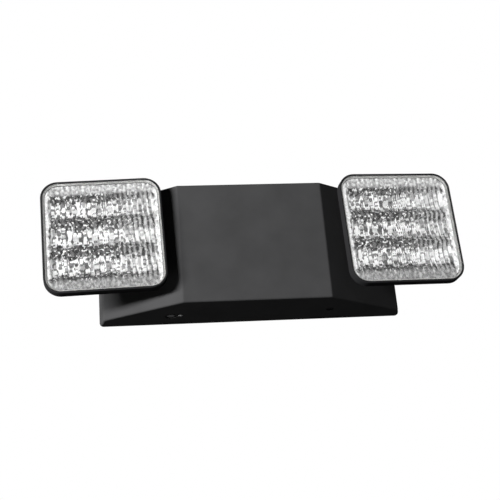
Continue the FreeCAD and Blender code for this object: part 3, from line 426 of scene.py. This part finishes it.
def link(name, data):
    """An object in the scene around a mesh, a light or a camera."""
    thing = bpy.data.objects.new(name, data)
    bpy.context.scene.collection.objects.link(thing)
    return thing


def new_piece(name, mesh, matrix, body, slot, replaced, look=None):
    """A mesh as a piece that moves with a body and stands for a CAD node."""
    piece = link(name, mesh)
    piece.matrix_world = matrix
    mesh.materials.append(look or LOOKS[slot])
    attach(piece, body)
    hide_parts(replaced)
    return piece


def head_piece(side, name, mesh, slot, replaced):
    """A piece of a lamp head, whose mesh is in the head's own frame."""
    new_piece(f"{side}_{name}", mesh, head_matrix(side), f"{side}_head", slot, f"{side}_{replaced}")


def finish_mesh(work, mesh, degrees):
    """Write a bmesh to its mesh, smooth but for the edges above an angle."""
    work.to_mesh(mesh)
    work.free()
    smooth_by_angle(mesh, degrees)


def smooth_by_angle(mesh, degrees):
    for face in mesh.polygons:
        face.use_smooth = True
    mesh.set_sharp_from_angle(angle=math.radians(degrees))


def round_square(across, up, half, corner):
    """Move a point of a square grid, each way from -1 to 1, into a square with round corners."""
    x, z = across * half, up * half
    straight = half - corner
    past_x, past_z = abs(x) - straight, abs(z) - straight
    if past_x > 0 and past_z > 0:
        part_x, part_z = past_x / corner, past_z / corner
        x = math.copysign(straight + corner * part_x * math.sqrt(1 - part_z * part_z / 2), x)
        z = math.copysign(straight + corner * part_z * math.sqrt(1 - part_x * part_x / 2), z)
    return x, z


def relief_slab(name, half, corner, rows, front, back):
    """A closed slab with round corners, whose front and back are heights over X and Z."""
    columns = GRID_COLUMNS
    mesh = bpy.data.meshes.new(name)
    work = bmesh.new()
    layers = []
    for height in (front, back):
        layer = []
        for row in range(rows + 1):
            line = []
            for column in range(columns + 1):
                x, z = round_square(2 * column / columns - 1, 2 * row / rows - 1, half, corner)
                line.append(work.verts.new((x, -height(x, z), z)))
            layer.append(line)
        layers.append(layer)
    for number, layer in enumerate(layers):
        for row in range(rows):
            for column in range(columns):
                loop = [layer[row][column], layer[row][column + 1],
                        layer[row + 1][column + 1], layer[row + 1][column]]
                work.faces.new(loop if number == 0 else loop[::-1])
    rims = [[layer[0][column] for column in range(columns)]
            + [layer[row][columns] for row in range(rows)]
            + [layer[rows][column] for column in range(columns, 0, -1)]
            + [layer[row][0] for row in range(rows, 0, -1)]
            for layer in layers]
    for step in range(len(rims[0])):
        after = (step + 1) % len(rims[0])
        work.faces.new((rims[0][after], rims[0][step], rims[1][step], rims[1][after]))
    bmesh.ops.recalc_face_normals(work, faces=work.faces)
    finish_mesh(work, mesh, SMOOTH_DEGREES)
    return mesh


def eased(value, low, high):
    """0 below low, 1 above high, and a soft step between."""
    share = min(max((value - low) / (high - low), 0.0), 1.0)
    return share * share * (3 - 2 * share)


def edge_distance(x, z, half, corner):
    """How far a point is inside the outline of a square with round corners."""
    past_x, past_z = abs(x) - (half - corner), abs(z) - (half - corner)
    outside = math.hypot(max(past_x, 0.0), max(past_z, 0.0))
    return corner - outside - min(max(past_x, past_z), 0.0)


def flute_share(x):
    """0 in the middle of a flute and 1 on the ridge between two."""
    return abs((x / FLUTE_PITCH + 0.5) % 1.0 - 0.5) * 2


def make_lens(side):
    """The clear square: a flat front with an eased edge, and round flutes behind it."""
    fluted = FLUTE_PITCH * FLUTE_COUNT / 2

    def front(x, z):
        inside = edge_distance(x, z, LENS_HALF, LENS_CORNER)
        return LENS_FACE - LENS_EASE_DEPTH * (1 - eased(inside, 0.0, LENS_EASE_WIDTH)) ** 2

    def back(x, z):
        inside = edge_distance(x, z, LENS_HALF, LENS_CORNER)
        share = eased(inside, FLUTE_START, FLUTE_FULL) * (abs(x) < fluted)
        return LENS_FACE - LENS_THICKNESS + share * FLUTE_DEPTH * (1 - flute_share(x) ** 2)

    mesh = relief_slab(f"{side}_lens_pane", LENS_HALF, LENS_CORNER, LENS_ROWS, front, back)
    head_piece(side, "lens_pane", mesh, "lens_clear", "lens")


def make_reflector(side):
    """The bright moulding: three long troughs with flutes in them, and pockets for the diodes."""
    def front(x, z):
        nearest = min(TROUGH_PLACES, key=lambda row: abs(z - row))
        side_way = min(abs(z - nearest) / (TROUGH_MOUTH / 2), 1.0)
        end_way = eased(TROUGH_HALF_LENGTH - abs(x), 0.0, TROUGH_END)
        depth = TROUGH_DEPTH * (1 - side_way ** 2) * end_way
        ripple_way = eased(REFLECTOR_HALF - abs(x), 0.0, RIPPLE_MARGIN)
        ripple = RIPPLE_DEPTH * (1 - flute_share(x) ** 2) * ripple_way
        pocket = 0.0
        for place in DIODE_PLACES:
            reach = math.hypot(x - place, z - nearest)
            pocket = max(pocket, 1 - eased(reach, POCKET_RADIUS - POCKET_EASE, POCKET_RADIUS))
        height = REFLECTOR_FRONT - depth - ripple - POCKET_DEPTH * pocket
        return max(height, REFLECTOR_BACK + REFLECTOR_SKIN)

    def back(x, z):
        inside = edge_distance(x, z, REFLECTOR_HALF, REFLECTOR_CORNER)
        slope_in = 1 - eased(inside, 0.0, REFLECTOR_SLOPE)
        return REFLECTOR_BACK + slope_in * (REFLECTOR_FRONT - REFLECTOR_BACK - REFLECTOR_RIM)

    mesh = relief_slab(f"{side}_reflector_face", REFLECTOR_HALF, REFLECTOR_CORNER, REFLECTOR_ROWS,
                       front, back)
    head_piece(side, "reflector_face", mesh, "reflector_silver", "reflector")


def make_diodes(side):
    """Small diodes with a round dome, one in each pocket of the reflector."""
    mesh = bpy.data.meshes.new(f"{side}_diodes")
    work = bmesh.new()
    for row in TROUGH_PLACES:
        for place in DIODE_PLACES:
            at = Vector((place, -DIODE_FORWARD, row))
            case = bmesh.ops.create_cube(work, size=1.0)["verts"]
            bmesh.ops.scale(work, vec=DIODE_CASE, verts=case)
            bmesh.ops.translate(work, vec=at, verts=case)
            edges = {edge for vertex in case for edge in vertex.link_edges}
            bmesh.ops.bevel(work, geom=list(edges), offset=DIODE_BEVEL, segments=2, affect="EDGES")
            ball = bmesh.ops.create_uvsphere(work, u_segments=20, v_segments=10, radius=DOME_RADIUS)
            dome = ball["verts"]
            bmesh.ops.scale(work, vec=(1.0, DOME_FLATNESS, 1.0), verts=dome)
            bmesh.ops.translate(work, vec=at - Vector((0, DOME_LIFT, 0)), verts=dome)
    finish_mesh(work, mesh, SMOOTH_DEGREES)
    head_piece(side, "diodes", mesh, "led_white", "leds")


def make_spring():
    """The test button's return spring: a coil of round wire that shortens towards the switch."""
    steps, sides = 140, 10
    low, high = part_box("test_spring")
    middle, length = (low + high) / 2, high.z - low.z
    coil = (high.x - low.x) / 2 - SPRING_WIRE
    mesh = bpy.data.meshes.new("test_spring_coil")
    work = bmesh.new()
    rings = []
    for step in range(steps + 1):
        turn = 2 * math.pi * SPRING_TURNS * step / steps
        height = low.z + SPRING_WIRE + (length - 2 * SPRING_WIRE) * step / steps
        ring = []
        for side in range(sides):
            around = 2 * math.pi * side / sides
            reach = coil + SPRING_WIRE * math.cos(around)
            x = middle.x + reach * math.cos(turn)
            y = middle.y + reach * math.sin(turn)
            ring.append(work.verts.new((x, y, height + SPRING_WIRE * math.sin(around))))
        rings.append(ring)
    for before, after in zip(rings, rings[1:]):
        for side in range(sides):
            follower = (side + 1) % sides
            work.faces.new((before[side], before[follower], after[follower], after[side]))
    work.faces.new(rings[0])
    work.faces.new(rings[-1])
    bmesh.ops.recalc_face_normals(work, faces=work.faces)
    finish_mesh(work, mesh, degrees=50)
    spring = new_piece("test_spring_coil", mesh, Matrix.Identity(4), "housing", "steel",
                       "test_spring")
    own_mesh(spring)


def make_locking_screw():
    """The CAD's screw with its sharp edges rounded, in black lacquer."""
    mesh = frame["nodes"]["locking_screw"].data.copy()
    mesh.materials.clear()
    work = bmesh.new()
    work.from_mesh(mesh)
    bmesh.ops.remove_doubles(work, verts=work.verts, dist=1e-6)
    bmesh.ops.dissolve_limit(work, angle_limit=math.radians(1.0), verts=work.verts, edges=work.edges)
    sharp_angle = 35
    sharp = [edge for edge in work.edges
             if edge.is_manifold and edge.calc_face_angle() > math.radians(sharp_angle)]
    bmesh.ops.bevel(work, geom=sharp, offset=SCREW_EASE, segments=2, affect="EDGES",
                    clamp_overlap=True)
    finish_mesh(work, mesh, sharp_angle)
    new_piece("locking_screw_moulding", mesh, Matrix.Identity(4), "housing", "steel",
              "locking_screw", look=BLACK_LACQUER)


# Camera, light and floor

CAMERA_YAW = math.radians(8.12)
CAMERA_PITCH = math.radians(22.79)
CAMERA_ROLL = math.radians(4.89)
CAMERA_DISTANCE = 0.8245
CAMERA_TARGET = Vector((-0.00104, -0.0322, -0.00122))
PHOTO_WIDTH = 500
FOCAL_PIXELS = 1074.53
SENSOR_WIDTH = 36.0

WHITE = 1.0
DIM_WORLD = 0.018
FLOOR_GLOW = 0.7
FLOOR_BOUNCE = 0.04
FLOOR_LEVEL = -1.3
FLOOR_REACH = 60.0

# Each lamp's name, azimuth, elevation, distance, width, height and watts
LAMPS = (
    ("key_light", 54, -1, 1.4, 0.6, 0.15, 42),
    ("fill_light", -4, 16, 1.6, 0.4, 0.3, 0.4),
    ("low_light", 65, -50, 1.6, 0.5, 0.5, 2.8),
    ("back_light", 190, 50, 1.6, 0.8, 0.6, 10),
    ("side_light", -150, 15, 1.6, 0.6, 0.6, 22),
)


def make_camera():
    """The photograph's view: from below and a little to the left, slightly rolled."""
    ahead = Vector((math.sin(CAMERA_YAW) * math.cos(CAMERA_PITCH),
                    math.cos(CAMERA_YAW) * math.cos(CAMERA_PITCH), math.sin(CAMERA_PITCH)))
    level = Vector((math.cos(CAMERA_YAW), -math.sin(CAMERA_YAW), 0))
    upward = level.cross(ahead)
    right = level * math.cos(CAMERA_ROLL) - upward * math.sin(CAMERA_ROLL)
    up = level * math.sin(CAMERA_ROLL) + upward * math.cos(CAMERA_ROLL)
    data = bpy.data.cameras.new("photo_camera")
    data.sensor_width = SENSOR_WIDTH
    data.lens = FOCAL_PIXELS / PHOTO_WIDTH * SENSOR_WIDTH
    data.clip_start = 0.01
    camera = link("photo_camera", data)
    turn = Matrix((right, up, -ahead)).transposed().to_4x4()
    camera.matrix_world = Matrix.Translation(CAMERA_TARGET - ahead * CAMERA_DISTANCE) @ turn
    bpy.context.scene.camera = camera


def soft_box(name, azimuth, elevation, distance, width, height, watts):
    """An area light that faces the object: azimuth to the left of the front, elevation above it.
    No surface mirrors it, so glossy surfaces show only the white surroundings."""
    turn, rise = math.radians(azimuth), math.radians(elevation)
    level = math.cos(rise)
    away = Vector((-math.sin(turn) * level, -math.cos(turn) * level, math.sin(rise)))
    data = bpy.data.lights.new(name, "AREA")
    data.shape = "RECTANGLE"
    data.size, data.size_y, data.energy = width, height, watts
    light = link(name, data)
    light.visible_glossy = False
    light.matrix_world = (Matrix.Translation(CAMERA_TARGET + away * distance)
                          @ away.to_track_quat("Z", "Y").to_matrix().to_4x4())


def make_world():
    """White to the eye, in gloss and through clear plastic, and a dim even light on the object."""
    world = bpy.data.worlds.new("studio")
    bpy.context.scene.world = world
    world.use_nodes = True
    nodes, links = world.node_tree.nodes, world.node_tree.links
    nodes.clear()
    ray = nodes.new("ShaderNodeLightPath")
    seen = ray.outputs["Is Camera Ray"]
    for kind in ("Is Glossy Ray", "Is Transmission Ray"):
        either = nodes.new("ShaderNodeMath")
        either.operation = "MAXIMUM"
        links.new(seen, either.inputs[0])
        links.new(ray.outputs[kind], either.inputs[1])
        seen = either.outputs[0]
    chosen, output = nodes.new("ShaderNodeMixShader"), nodes.new("ShaderNodeOutputWorld")
    links.new(seen, chosen.inputs["Fac"])
    for number, strength in ((1, DIM_WORLD), (2, WHITE)):
        light = nodes.new("ShaderNodeBackground")
        light.inputs["Color"].default_value = grey(WHITE)
        light.inputs["Strength"].default_value = strength
        links.new(light.outputs[0], chosen.inputs[number])
    links.new(chosen.outputs[0], output.inputs["Surface"])


def make_floor():
    """A plain pale floor, well below the object, that throws little light back up."""
    mesh = bpy.data.meshes.new("floor")
    corners = [(x * FLOOR_REACH, y * FLOOR_REACH, FLOOR_LEVEL)
               for x, y in ((-1, -1), (1, -1), (1, 1), (-1, 1))]
    mesh.from_pydata(corners, [], [(0, 1, 2, 3)])
    floor = link("floor", mesh)
    recipe = Recipe("floor_paper", Roughness=0.9, Emission_Color=grey(WHITE))
    ray = recipe.add("ShaderNodeLightPath")
    seen = ray.node.outputs["Is Camera Ray"]
    shine = recipe.math("MULTIPLY", seen, FLOOR_GLOW)
    for kind in ("Is Glossy Ray", "Is Transmission Ray"):
        seen = recipe.math("MAXIMUM", seen, ray.node.outputs[kind])
        shine = recipe.math("MAXIMUM", shine, ray.node.outputs[kind])
    paper = recipe.ramp(recipe.noise(recipe.place(), scale=4.0), (0.3, 0.5), (0.7, 0.53))
    recipe.colour(recipe.mix(seen, FLOOR_BOUNCE, paper))
    recipe.put(recipe.shader.inputs["Emission Strength"], shine)
    mesh.materials.append(recipe.material)


dress_frame()
for side in SIDES:
    make_lens(side)
    make_reflector(side)
    make_diodes(side)
make_spring()
make_locking_screw()
make_camera()
for lamp in LAMPS:
    soft_box(*lamp)
make_world()
make_floor()
bpy.context.scene.view_settings.view_transform = "Standard"
